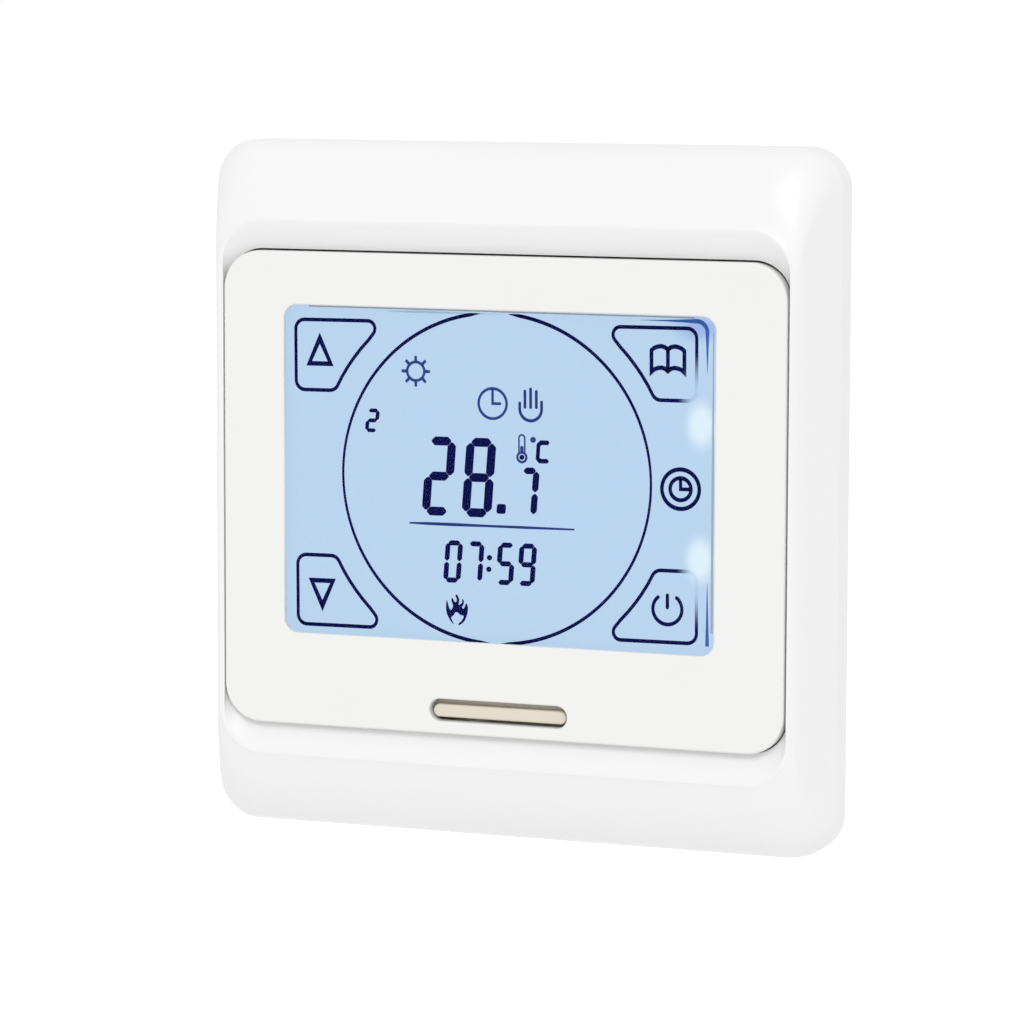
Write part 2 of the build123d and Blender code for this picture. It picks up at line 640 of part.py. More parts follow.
def relay_armature():
    """Iron flap that rocks on its rounded end, with a contact bridge at its free end."""
    back = ARMATURE_Y + ARMATURE_THICKNESS
    span = around(RELAY_Z, 9.0)
    flap = block((YOKE_X, ARMATURE_END_X), (ARMATURE_Y, back), span)
    flap += rod_z(ARMATURE_THICKNESS / 2, span, YOKE_X, (ARMATURE_Y + back) / 2)
    bridge = block((-8.0, -4.4), (back, back + 0.4), around(RELAY_Z, 9.0))
    for side in (-1, 1):
        bridge += slab(Circle(0.9), back - 1.2, back, -5.4, RELAY_Z + side * 3.0)
    return flap + bridge


# ---- Power board components --------------------------------------------------

def film_capacitor():
    """Boxed mains suppression capacitor."""
    body = block(around(9.0, 13.0), (POWER_BACK_Y + 0.3, 20.6), around(18.2, 6.0))
    body = fillet(body.edges().group_by(Axis.Y)[-1], 0.5)
    return body + [slab(Circle(0.4), POWER_BACK_Y, POWER_BACK_Y + 0.3, x, 18.2) for x in (4.0, 14.0)]


def can_capacitor(radius, height, x, z):
    """Electrolytic capacitor with a crimped groove near its foot."""
    top = POWER_BACK_Y + height
    can = slab(Circle(radius), POWER_BACK_Y, top, x, z)
    can = fillet(can.edges().group_by(Axis.Y)[-1], 0.4)
    groove = slab(Circle(radius + 1), POWER_BACK_Y + 1.4, POWER_BACK_Y + 2.0, x, z)
    groove -= slab(Circle(radius - 0.3), POWER_BACK_Y + 1.4, POWER_BACK_Y + 2.0, x, z)
    return can - groove


def electrolytic_capacitors():
    """Smoothing capacitors of the low-voltage supply."""
    return together([can_capacitor(4.0, 12.0, 17.6, 9.0), can_capacitor(3.15, 9.0, 8.6, 8.6)])


def fuse():
    """Round plug-in fuse."""
    body = slab(Circle(4.1), POWER_BACK_Y, POWER_BACK_Y + 7.6, 17.6, -1.6)
    return fillet(body.edges().group_by(Axis.Y)[-1], 0.6)


def varistor():
    """Surge-limiting disc on two leads."""
    x, z, radius = 6.0, -1.6, 4.8
    centre_y = POWER_BACK_Y + 1.2 + radius
    plane = Plane(origin=(x, centre_y, z - 1.8), x_dir=(1, 0, 0), z_dir=(0, 0, 1))
    disc = extrude(plane * Circle(radius), amount=3.6)
    disc = fillet(disc.edges().filter_by(GeomType.CIRCLE), 0.8)
    return disc + [rod_y(0.35, (POWER_BACK_Y, centre_y), x + side * 2.5, z) for side in (-1, 1)]


def regulator():
    """Supply chip with two rows of leads."""
    x, z = -8.0, -4.6
    body = block(around(x, 9.4), (9.9, 13.2), around(z, 6.2))
    for index in range(4):
        lead_x = x + (index - 1.5) * 2.3
        for side in (-1, 1):
            body += block(around(lead_x, 0.5), (POWER_BACK_Y, 11.6), around(z + side * 3.2, 0.3))
    return body


def axial_part(radius, length, x, z):
    """Component lying along the board on two bent wire leads."""
    y = POWER_BACK_Y + radius + 0.5
    body = rod_x(radius, around(x, length), y, z)
    wire = rod_x(0.35, around(x, length + 3.0), y, z)
    legs = [rod_y(0.35, (POWER_BACK_Y, y), x + side * (length / 2 + 1.2), z) for side in (-1, 1)]
    return body + wire + legs


def rectifier_diodes():
    """Four diodes side by side."""
    return together(axial_part(1.2, 3.6, -18.0, -0.4 - 3.0 * index) for index in range(4))


def power_resistor():
    """Fusible resistor."""
    return axial_part(1.9, 8.0, 12.6, -9.6)


# ---- Terminals ---------------------------------------------------------------

def pole_positions():
    """X of every terminal."""
    return [(index - (POLE_COUNT - 1) / 2) * POLE_PITCH for index in range(POLE_COUNT)]


def terminal_block():
    """Insulating body with a chamber, a wire hole and a screw well at every pole."""
    body = block(around(0, BLOCK_WIDTH), (POWER_BACK_Y, STEP_Y), (BLOCK_LOW_Z, BLOCK_HIGH_Z))
    for x in pole_positions():
        body -= block(around(x, CAVITY_WIDTH), (CAVITY_FRONT_Y, CAVITY_BACK_Y), around(POLE_Z, CAVITY_LENGTH))
        body -= slab(Circle(SCREW_RADIUS + 0.15), CAVITY_BACK_Y, STEP_Y, x, POLE_Z)
        body -= slab(Circle(SCREW_HEAD_RADIUS + 0.3), CAVITY_BACK_Y + 0.5, STEP_Y, x, POLE_Z)
        body -= rod_z(WIRE_HOLE_RADIUS, (BLOCK_LOW_Z, POLE_Z), x, WIRE_Y)
        body -= block(around(x, 1.3), (POWER_BACK_Y, CAVITY_FRONT_Y), around(-14.9, 0.7))
    return body


def terminal_contacts():
    """Tinned bars, one in each chamber, soldered to the board by a leg."""
    bars = []
    for x in pole_positions():
        bar = block(around(x, 3.6), (BUSBAR_FRONT_Y, BUSBAR_BACK_Y), (-21.9, -14.7))
        leg = block(around(x, 1.2), (POWER_BACK_Y, BUSBAR_FRONT_Y), (-15.2, -14.7))
        bars.append(bar + leg)
    return together(bars)


def terminal_screw(x):
    """Clamp screw that turns in place."""
    head = slab(Circle(SCREW_HEAD_RADIUS), SCREW_HEAD_Y, SCREW_TOP_Y, x, POLE_Z)
    head = fillet(head.edges().group_by(Axis.Y)[-1], 0.3)
    shank = slab(Circle(SCREW_RADIUS), BUSBAR_BACK_Y + 0.1, SCREW_HEAD_Y, x, POLE_Z)
    driver_slot = slab(Rectangle(2 * SCREW_HEAD_RADIUS + 1, 0.8), SCREW_TOP_Y - 0.9, SCREW_TOP_Y, x, POLE_Z)
    return head + shank - driver_slot


def terminal_cage(x):
    """Clamping cage that the screw draws up against the bar."""
    cage = block(around(x, CAGE_WIDTH), (CAGE_FRONT_Y, CAGE_BACK_Y), around(POLE_Z, CAGE_LENGTH))
    inner_depth = (CAGE_FRONT_Y + CAGE_FLOOR, CAGE_ROOF_Y)
    cage -= block(around(x, CAGE_WIDTH - 2 * CAGE_WALL), inner_depth, around(POLE_Z, CAGE_LENGTH))
    return cage - slab(Circle(SCREW_RADIUS + SCREW_PLAY), CAGE_ROOF_Y, CAGE_BACK_Y, x, POLE_Z)


# ---- Export ------------------------------------------------------------------

NODES = {
    "decor_frame": decor_frame,
    "front_cover": front_cover,
    "touch_gasket": touch_gasket,
    "touch_panel": touch_panel,
    "lcd_glass": lcd_glass,
    "light_guide": light_guide,
    "backlight_leds": backlight_leds,
    "display_carrier": display_carrier,
    "zebra_connector": zebra_connector,
    "control_board": control_board,
    "microcontroller": microcontroller,
    "quartz_crystal": quartz_crystal,
    "buzzer": buzzer,
    "backup_cell": backup_cell,
    "air_sensor": air_sensor,
    "header_base": header_base,
    "header_pins": header_pins,
    "module_back": module_back,
    "module_screws": module_screws,
    "release_catch": release_catch,
    "mounting_plate": mounting_plate,
    "plate_screws": plate_screws,
    "base_cover": base_cover,
    "rear_housing": rear_housing,
    "power_board": power_board,
    "board_socket": board_socket,
    "relay_case": relay_case,
    "relay_base": relay_base,
    "relay_coil": relay_coil,
    "relay_yoke": relay_yoke,
    "relay_contacts": relay_contacts,
    "relay_armature": relay_armature,
    "film_capacitor": film_capacitor,
    "electrolytic_capacitors": electrolytic_capacitors,
    "fuse": fuse,
    "varistor": varistor,
    "regulator": regulator,
    "rectifier_diodes": rectifier_diodes,
    "power_resistor": power_resistor,
    "terminal_block": terminal_block,
    "terminal_contacts": terminal_contacts,
}

os.makedirs("parts", exist_ok=True)
for name, make in NODES.items():
    export_step(make(), f"parts/{name}.step")
for number, pole_x in enumerate(pole_positions(), start=1):
    export_step(terminal_screw(pole_x), f"parts/terminal_screw_{number}.step")
    export_step(terminal_cage(pole_x), f"parts/terminal_cage_{number}.step")
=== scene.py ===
import math

import bmesh
import bpy
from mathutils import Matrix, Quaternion, Vector


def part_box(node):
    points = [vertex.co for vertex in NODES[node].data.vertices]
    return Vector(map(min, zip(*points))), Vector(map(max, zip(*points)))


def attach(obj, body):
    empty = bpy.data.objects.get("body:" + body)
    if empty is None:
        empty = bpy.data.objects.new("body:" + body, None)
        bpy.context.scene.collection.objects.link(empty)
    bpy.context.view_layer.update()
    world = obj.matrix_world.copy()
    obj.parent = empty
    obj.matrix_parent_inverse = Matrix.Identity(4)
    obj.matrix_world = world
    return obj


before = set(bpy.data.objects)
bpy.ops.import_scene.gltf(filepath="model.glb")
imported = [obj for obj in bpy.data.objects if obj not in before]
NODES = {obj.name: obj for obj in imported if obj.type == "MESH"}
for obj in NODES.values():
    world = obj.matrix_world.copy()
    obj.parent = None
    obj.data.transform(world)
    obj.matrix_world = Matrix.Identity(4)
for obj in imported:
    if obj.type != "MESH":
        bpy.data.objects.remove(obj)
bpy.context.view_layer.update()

# Wall thermostat. The scene is in metres and the helpers below take millimetres.
# X runs right, Z up and -Y out into the room.
MM = 0.001


def node_box(node):
    """Lowest and highest corner of a CAD node in millimetres."""
    low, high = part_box(node)
    return low / MM, high / MM


# ---- Material helpers --------------------------------------------------------

def screen_colour(red, green, blue):
    """Linear colour from the 0-255 values of a screen."""
    def channel(value):
        share = value / 255
        return share / 12.92 if share <= 0.04045 else ((share + 0.055) / 1.055) ** 2.4

    return (channel(red), channel(green), channel(blue), 1.0)


def scaled(colour, factor):
    """The colour made lighter or darker."""
    return tuple(min(1.0, part * factor) for part in colour[:3]) + (1.0,)


class Finish:
    """A Principled material with nodes that work in millimetres on the object's own coordinates."""

    def __init__(self, name, **fixed):
        self.material = bpy.data.materials.new(name)
        self.material.use_nodes = True
        self.tree = self.material.node_tree
        self.shader = self.tree.nodes["Principled BSDF"]
        for socket, value in fixed.items():
            self.shader.inputs[socket.replace("_", " ")].default_value = value
        place = self.tree.nodes.new("ShaderNodeTexCoord")
        self.place = self.vector("SCALE", place.outputs["Object"])
        self.place.node.inputs["Scale"].default_value = 1 / MM
        split = self.tree.nodes.new("ShaderNodeSeparateXYZ")
        self.link(self.place, split.inputs[0])
        self.x, self.y, self.z = split.outputs

    def link(self, value, socket):
        """Joins a node's output to a socket, or writes a plain value on it."""
        if isinstance(value, bpy.types.NodeSocket):
            self.tree.links.new(value, socket)
        else:
            socket.default_value = value

    def vector(self, operation, first, second=(0, 0, 0)):
        node = self.tree.nodes.new("ShaderNodeVectorMath")
        node.operation = operation
        self.link(first, node.inputs[0])
        self.link(second, node.inputs[1])
        return node.outputs["Value" if operation in ("LENGTH", "DOT_PRODUCT") else "Vector"]

    def maths(self, operation, *values):
        node = self.tree.nodes.new("ShaderNodeMath")
        node.operation = operation
        for value, socket in zip(values, node.inputs):
            self.link(value, socket)
        return node.outputs[0]

    def noise(self, size, detail=2.0, stretch=(1, 1, 1)):
        """Soft noise from 0 to 1, with blotches of that size."""
        node = self.tree.nodes.new("ShaderNodeTexNoise")
        node.inputs["Scale"].default_value = 1.0
        node.inputs["Detail"].default_value = detail
        cell = [size * part for part in stretch]
        self.link(self.vector("DIVIDE", self.place, cell), node.inputs["Vector"])
        return node.outputs["Fac"]

    def cells(self, size):
        """A random tone from 0 to 1 for each irregular cell of that size."""
        node = self.tree.nodes.new("ShaderNodeTexVoronoi")
        node.inputs["Scale"].default_value = 1.0
        self.link(self.vector("DIVIDE", self.place, [size] * 3), node.inputs["Vector"])
        return self.vector("DOT_PRODUCT", node.outputs["Color"], (0.4, 0.3, 0.3))

    def ranged(self, value, span, result, smooth=False):
        """The value's span mapped to the result's span and clamped to it."""
        node = self.tree.nodes.new("ShaderNodeMapRange")
        node.interpolation_type = "SMOOTHSTEP" if smooth else "LINEAR"
        self.link(value, node.inputs["Value"])
        ends = ("From Min", "From Max", "To Min", "To Max")
        for socket, number in zip(ends, (*span, *result)):
            node.inputs[socket].default_value = number
        return node.outputs["Result"]

    def mix(self, share, first, second):
        """Colour that goes from the first to the second as share goes from 0 to 1."""
        node = self.tree.nodes.new("ShaderNodeMix")
        node.data_type = "RGBA"
        sockets = [socket for socket in node.inputs if socket.type == "RGBA"]
        self.link(share, node.inputs[0])
        self.link(first, sockets[0])
        self.link(second, sockets[1])
        return next(socket for socket in node.outputs if socket.type == "RGBA")

    def stripes(self, value, pitch, share):
        """1 on even stripes across the value, each that share of the pitch, and 0 between them."""
        phase = self.maths("FRACT", self.maths("DIVIDE", value, pitch))
        return self.maths("LESS_THAN", phase, share)

    def band(self, value, middle, width):
        """1 where the value is within a band, and 0 elsewhere."""
        return self.maths("COMPARE", value, middle, width / 2)

    def near(self, point, reach, inner=0.0):
        """1 around a point, falling smoothly to 0 at the reach along each axis."""
        offset = self.vector("DIVIDE", self.vector("SUBTRACT", self.place, point), reach)
        return self.ranged(self.vector("LENGTH", offset), (inner, 1.0), (1.0, 0.0), smooth=True)

    def colour(self, value):
        self.link(value, self.shader.inputs["Base Color"])

    def gloss(self, value):
        self.link(value, self.shader.inputs["Roughness"])

    def relief(self, height, depth):
        """Bump of that depth."""
        node = self.tree.nodes.new("ShaderNodeBump")
        node.inputs["Distance"].default_value = depth * MM
        self.link(height, node.inputs["Height"])
        self.tree.links.new(node.outputs["Normal"], self.shader.inputs["Normal"])


# ---- Materials ---------------------------------------------------------------

def plastic(name, colour, roughness, grain=0.3, depth=0.004, cloud=0.015, **fixed):
    """Moulded plastic: faint flow clouds, uneven gloss and a moulded grain."""
    made = Finish(name, **fixed)
    made.colour(made.mix(made.noise(14.0, 3.0), scaled(colour, 1 - cloud), scaled(colour, 1 + cloud)))
    made.gloss(made.ranged(made.noise(5.0), (0.3, 0.7), (roughness * 0.88, roughness * 1.12)))
    made.relief(made.noise(grain, 3.0), depth)
    return made.material


def metal(name, colour, roughness, grain=0.6, depth=0.003, stretch=(1, 1, 1)):
    """Plated or drawn metal with fine tooling marks and faint stains."""
    made = Finish(name, Metallic=1.0)
    made.colour(made.mix(made.noise(3.0, 4.0), scaled(colour, 0.84), scaled(colour, 1.1)))
    marks = made.noise(grain, 4.0, stretch)
    made.gloss(made.ranged(marks, (0.3, 0.7), (roughness * 0.75, roughness * 1.3)))
    made.relief(marks, depth)
    return made.material


def galvanised():
    """Zinc-coated sheet with its crystal pattern and rolling marks."""
    made = Finish("galvanised_steel", Metallic=1.0)
    crystals = made.cells(2.6)
    made.colour(made.mix(crystals, screen_colour(166, 169, 172), screen_colour(214, 217, 219)))
    made.gloss(made.ranged(crystals, (0.2, 0.8), (0.5, 0.28)))
    made.relief(made.noise(0.5, 3.0, (8, 1, 1)), 0.004)
    return made.material


def circuit_board():
    """Green solder mask over copper tracks, with rows of tinned pads."""
    made = Finish("circuit_board", Roughness=0.3)
    pitch = 2.54
    tracks = made.mix(
        made.maths("GREATER_THAN", made.cells(7.0), 0.5),
        made.stripes(made.x, pitch / 3, 0.4), made.stripes(made.z, pitch / 3, 0.4),
    )
    mask = made.mix(made.noise(9.0, 3.0), screen_colour(8, 74, 34), screen_colour(12, 92, 44))
    lit = made.mix(tracks, mask, screen_colour(28, 128, 66))
    column = made.maths("PINGPONG", made.x, pitch / 2)
    row = made.maths("PINGPONG", made.z, pitch / 2)
    flat = made.tree.nodes.new("ShaderNodeCombineXYZ")
    made.link(column, flat.inputs[0])
    made.link(row, flat.inputs[1])
    pads = made.maths("LESS_THAN", made.vector("LENGTH", flat.outputs[0]), 0.42)
    made.colour(made.mix(pads, lit, screen_colour(196, 194, 186)))
    made.gloss(made.ranged(pads, (0, 1), (0.28, 0.4)))
    made.relief(made.maths("ADD", tracks, pads), 0.03)
    return made.material


def laid_wire():
    """Enamelled copper wire wound in even turns."""
    made = Finish("copper_winding", Metallic=1.0)
    turn = 0.22
    ridge = made.maths("SINE", made.maths("MULTIPLY", made.y, 2 * math.pi / turn))
    # The copper is darker in the grooves between turns and lighter on their crests: painted shade and
    # painted highlight.
    made.colour(made.mix(ridge, screen_colour(120, 58, 26), screen_colour(206, 122, 62)))
    made.gloss(made.ranged(made.noise(1.5), (0.3, 0.7), (0.28, 0.45)))
    made.relief(ridge, 0.03)
    return made.material


def layered_rubber():
    """Conductive rubber: thin dark and pale layers side by side."""
    made = Finish("zebra_rubber")
    layers = made.stripes(made.x, 0.4, 0.5)
    made.colour(made.mix(layers, screen_colour(196, 196, 198), screen_colour(34, 34, 38)))
    made.gloss(made.ranged(made.noise(2.0), (0.3, 0.7), (0.5, 0.7)))
    made.relief(layers, 0.01)
    return made.material


def foam():
    """Black open-cell foam tape."""
    made = Finish("gasket_foam")
    pores = made.noise(0.25, 4.0)
    made.colour(made.mix(pores, screen_colour(14, 14, 15), screen_colour(52, 52, 54)))
    made.gloss(made.ranged(pores, (0.3, 0.7), (0.8, 0.98)))
    made.relief(pores, 0.06)
    return made.material


def clear_pane():
    """Clear touch pane: nearly all see-through, with a faint bluish haze."""
    made = Finish("touch_pane", Alpha=PANE_ALPHA, IOR=1.49)
    haze = made.noise(11.0, 3.0)
    made.colour(made.mix(haze, screen_colour(150, 190, 250), screen_colour(172, 206, 255)))
    made.gloss(made.ranged(haze, (0.3, 0.7), (0.05, 0.09)))
    return made.material


def beside_leds(made, heights, reach):
    """1 where the side LEDs shine into the display, falling to 0 at the reach in X and Z."""
    spots = [
        made.near((LED_SPOT_X, LCD_PLANE, height), (reach[0], SPOT_DEPTH, reach[1]), SPOT_CORE)
        for height in heights
    ]
    return made.maths("MAXIMUM", *spots)


def display_light(made):
    """Colour of the backlit display: even pale blue, brighter at the side LEDs, deeper in a corner."""
    even = made.mix(made.noise(18.0), scaled(DISPLAY_BLUE, 0.99), scaled(DISPLAY_BLUE, 1.01))
    corner = made.near(CORNER_SHADE, (4.6, SPOT_DEPTH, 2.3), 0.1)
    shaded = made.mix(made.maths("MULTIPLY", corner, CORNER_SHARE), even, CORNER_BLUE)
    glow = beside_leds(made, GLOW_HEIGHTS, GLOW_REACH)
    return made.mix(made.maths("MULTIPLY", glow, GLOW_SHARE), shaded, GLOW_WHITE)


def lit_display():
    """Backlit liquid-crystal cell."""
    made = Finish("lit_display", Specular_IOR_Level=0.12)
    made.colour(made.mix(made.noise(6.0), screen_colour(30, 36, 44), screen_colour(34, 41, 50)))
    made.gloss(made.ranged(made.noise(4.0), (0.3, 0.7), (0.3, 0.4)))
    made.link(display_light(made), made.shader.inputs["Emission Color"])
    made.shader.inputs["Emission Strength"].default_value = 1.0
    return made.material


def display_ink(name, dark):
    """Ink of the display's artwork, washed out where the side LEDs shine in."""
    made = Finish(name, Specular_IOR_Level=0.0)
    made.colour(made.mix(made.noise(3.0), dark, scaled(dark, 1.3)))
    made.gloss(made.ranged(made.noise(2.0), (0.3, 0.7), (0.35, 0.45)))
    washed = made.maths("MULTIPLY", beside_leds(made, WASH_HEIGHTS, WASH_REACH), WASH_SHARE)
    made.link(made.mix(washed, (0, 0, 0, 1), display_light(made)), made.shader.inputs["Emission Color"])
    made.shader.inputs["Emission Strength"].default_value = 1.0
    return made.material


def edge_ink(name, colour):
    """Faint line along the display's border; the grey one is painted shade along the window's edge."""
    made = Finish(name, Specular_IOR_Level=0.1)
    made.colour(made.mix(made.noise(3.0), scaled(colour, 0.92), scaled(colour, 1.08)))
    made.gloss(made.ranged(made.noise(2.0), (0.3, 0.7), (0.35, 0.45)))
    return made.material


def banded_resistor():
    """Lacquered resistor with four rings."""
    made = Finish("resistor_lacquer")
    low, high = node_box("power_resistor")
    middle = (low.x + high.x) / 2
    rings = zip((-2.9, -1.5, -0.1, 2.7), ((122, 66, 26), (20, 20, 20), (196, 60, 20), (188, 150, 60)))
    colour = made.mix(made.noise(2.0), screen_colour(122, 158, 150), screen_colour(136, 170, 160))
    for offset, ring in rings:
        colour = made.mix(made.band(made.x, middle + offset, 0.7), colour, screen_colour(*ring))
    made.colour(colour)
    made.gloss(made.ranged(made.noise(1.0), (0.3, 0.7), (0.3, 0.42)))
    made.relief(made.noise(1.2), 0.03)
    return made.material


def banded_diode():
    """Black moulded diode with a pale ring at one end."""
    made = Finish("diode_moulding")
    low, high = node_box("rectifier_diodes")
    ring = made.band(made.x, (low.x + high.x) / 2 + 1.15, 0.5)
    dark = made.mix(made.noise(2.0), screen_colour(18, 18, 20), screen_colour(30, 30, 32))
    made.colour(made.mix(ring, dark, screen_colour(206, 206, 204)))
    made.gloss(made.ranged(made.noise(1.0), (0.3, 0.7), (0.35, 0.5)))
    made.relief(made.noise(0.3, 3.0), 0.006)
    return made.material


def dipped_epoxy():
    """Blue dipped coating with soft runs."""
    made = Finish("varistor_epoxy")
    runs = made.noise(2.2, 2.0, (1, 2.5, 1))
    made.colour(made.mix(runs, screen_colour(18, 62, 138), screen_colour(34, 88, 176)))
    made.gloss(made.ranged(runs, (0.3, 0.7), (0.2, 0.34)))
    made.relief(runs, 0.12)
    return made.material


# Display values, in millimetres and as shares. The side LEDs make two bright spots: GLOW is
# the light on the cell itself, and WASH is how far it washes out the ink.
LCD_PLANE = node_box("lcd_glass")[0].y
PANE_ALPHA = 0.006
DISPLAY_BLUE = screen_colour(182, 208, 233)
CORNER_BLUE = screen_colour(96, 132, 214)
GLOW_WHITE = screen_colour(221, 240, 248)
INK_DARK = screen_colour(2, 3, 56)
INK_THIN = screen_colour(36, 53, 108)
INK_HAND = screen_colour(30, 45, 102)
LED_SPOT_X = 26.7
SPOT_DEPTH = 6.0
SPOT_CORE = 0.3
GLOW_HEIGHTS = (10.2, -6.9)
GLOW_REACH = (2.6, 4.0)
GLOW_SHARE = 0.92
WASH_HEIGHTS = (12.6, -8.8)
WASH_REACH = (3.2, 7.0)
WASH_SHARE = 0.95
CORNER_SHADE = (26.2, LCD_PLANE, 22.3)
CORNER_SHARE = 0.45

FINISHES = {
    "frame": plastic("frame_gloss", (0.682, 0.682, 0.681, 1), 0.34, grain=2.5, depth=0.004, cloud=0.006,
                     Specular_IOR_Level=0.3),
    "cover": plastic("cover_satin", (0.66, 0.659, 0.652, 1), 0.42, grain=0.22, depth=0.003, cloud=0.006),
    "catch": plastic("catch_cream", screen_colour(202, 195, 179), 0.45, cloud=0.02),
    "foam": foam(),
    "pane": clear_pane(),
    "display": lit_display(),
    "acrylic": plastic("frosted_acrylic", screen_colour(226, 236, 246), 0.3, grain=0.6, depth=0.02,
                       Transmission_Weight=0.35, IOR=1.49),
    "led": plastic("led_resin", screen_colour(250, 246, 206), 0.22, cloud=0.03),
    "carrier": plastic("carrier_white", screen_colour(228, 228, 224), 0.5, depth=0.01),
    "zebra": layered_rubber(),
    "board": circuit_board(),
    "chip": plastic("chip_moulding", screen_colour(30, 30, 32), 0.55, grain=0.12, depth=0.008, cloud=0.1),
    "tin": metal("tinned_leads", screen_colour(205, 203, 196), 0.3),
    "can": metal("drawn_can", screen_colour(206, 207, 208), 0.26, stretch=(1, 6, 1)),
    "bead": plastic("sensor_bead", screen_colour(24, 24, 27), 0.25, depth=0.01, cloud=0.08),
    "header": plastic("header_black", screen_colour(22, 22, 23), 0.5, cloud=0.08),
    "gold": metal("gilded_pins", screen_colour(232, 190, 104), 0.25, stretch=(1, 6, 1)),
    "back": plastic("module_back", (0.6, 0.6, 0.588, 1), 0.55, grain=0.35, depth=0.02),
    "screw": metal("zinc_screws", screen_colour(190, 190, 182), 0.32, grain=0.3),
    "plate": galvanised(),
    "housing": plastic("housing_white", (0.58, 0.58, 0.567, 1), 0.55, grain=0.4, depth=0.02),
    "relay": plastic("relay_case", screen_colour(34, 38, 44), 0.3, cloud=0.08),
    "winding": laid_wire(),
    "iron": metal("nickel_iron", screen_colour(176, 174, 168), 0.35, grain=0.4),
    "brass": metal("spring_brass", screen_colour(214, 180, 108), 0.28, stretch=(1, 5, 1)),
    "film": plastic("film_yellow", screen_colour(232, 190, 40), 0.35, depth=0.008, cloud=0.03),
    "sleeve": plastic("sleeve_black", screen_colour(24, 26, 34), 0.28, cloud=0.08),
    "stripe": plastic("sleeve_stripe", screen_colour(176, 180, 186), 0.3, cloud=0.04),
    "fuse": plastic("fuse_brown", screen_colour(96, 46, 28), 0.3, cloud=0.06),
    "varistor": dipped_epoxy(),
    "diode": banded_diode(),
    "resistor": banded_resistor(),
    "terminal": plastic("terminal_grey", screen_colour(196, 199, 198), 0.5, depth=0.012),
    "ink": display_ink("display_ink", INK_DARK),
    "thin_ink": display_ink("thin_ink", INK_THIN),
    "hand_ink": display_ink("hand_ink", INK_HAND),
    "edge_ink": edge_ink("edge_ink", screen_colour(52, 92, 172)),
    "pale_ink": edge_ink("pale_ink", screen_colour(166, 195, 224)),
    # Grey of the painted shade that the window's top and right edges cast on the display.
    "rim_shade_ink": edge_ink("rim_shade_ink", screen_colour(162, 168, 174)),
}

# Which finish each CAD node wears; a second finish is for the faces that paint() picks
NODE_FINISH = {
    "decor_frame": "frame", "front_cover": "cover", "release_catch": "catch",
    "touch_gasket": "foam", "touch_panel": "pane", "lcd_glass": "display",
    "light_guide": "acrylic", "backlight_leds": "led", "display_carrier": "carrier",
    "zebra_connector": "zebra", "control_board": "board", "power_board": "board",
    "microcontroller": "chip", "regulator": "chip", "quartz_crystal": "can",
    "backup_cell": "can", "buzzer": "header", "air_sensor": "bead",
    "header_base": "header", "board_socket": "header", "header_pins": "gold",
    "module_back": "back", "module_screws": "screw", "plate_screws": "screw",
    "mounting_plate": "plate", "base_cover": "housing", "rear_housing": "housing",
    "relay_case": "relay", "relay_base": "relay", "relay_coil": "winding",
    "relay_yoke": "iron", "relay_armature": "iron", "relay_contacts": "brass",
    "film_capacitor": "film", "electrolytic_capacitors": "sleeve", "fuse": "fuse",
    "varistor": "varistor", "rectifier_diodes": "diode", "power_resistor": "resistor",
    "terminal_block": "terminal", "terminal_contacts": "tin",
}


def finish_of(node):
    """Finish of a node; the numbered terminal parts are screws and cages."""
    if node.startswith("terminal_screw"):
        return "screw"
    return "tin" if node.startswith("terminal_cage") else NODE_FINISH[node]


def dress_nodes():
    """Gives every CAD node its material."""
    for name, node in NODES.items():
        node.data.materials.clear()
        node.data.materials.append(FINISHES[finish_of(name)])


def paint(node, finish, picks):
    """Gives another finish to the faces whose centre and normal the test picks."""
    mesh = NODES[node].data
    mesh.materials.append(FINISHES[finish])
    for face in mesh.polygons:
        if picks(face.center / MM, face.normal):
            face.material_index = len(mesh.materials) - 1


def paint_details():
    """Tinned leads, aluminium can tops and sleeve stripes."""
    board = node_box("power_board")[1].y
    low, high = node_box("microcontroller")
    lead = 0.95
    paint("microcontroller", "tin", lambda p, n: not (
        low.x + lead < p.x < high.x - lead and low.z + lead < p.z < high.z - lead))
    low, high = node_box("regulator")
    foot, lead = 0.7, 0.35
    paint("regulator", "tin", lambda p, n: p.y < board + foot or not low.z + lead < p.z < high.z - lead)
    paint("electrolytic_capacitors", "can", lambda p, n: n.y > 0.9)
    paint("electrolytic_capacitors", "stripe", lambda p, n: n.x < -0.86)
    for node, leg in (("varistor", 1.15), ("film_capacitor", 0.25)):
        paint(node, "tin", lambda p, n, leg=leg: p.y < board + leg)
    for node, half in (("rectifier_diodes", 1.85), ("power_resistor", 4.05)):
        low, high = node_box(node)
        middle = (low.x + high.x) / 2
        paint(node, "tin", lambda p, n, middle=middle, half=half: abs(p.x - middle) > half)
    bead_depth = 2.75
    bead_back = node_box("air_sensor")[0].y + bead_depth
    paint("air_sensor", "tin", lambda p, n: p.y > bead_back)


# ---- Flat drawing kit --------------------------------------------------------
# Points are (x, z) pairs in millimetres. An outline is one closed loop of them. An island is
# a pair: an outline and its hole, or an outline and None.

def arc(centre, radius, start, end, steps=16):
    """Points along an arc, with angles in degrees anticlockwise from +X."""
    angles = [math.radians(start + (end - start) * step / steps) for step in range(steps + 1)]
    return [Vector((centre[0] + radius * math.cos(a), centre[1] + radius * math.sin(a))) for a in angles]


def circle(centre, radius, steps=48):
    """Closed outline of a circle."""
    return arc(centre, radius, 0, 360, steps)[:-1]


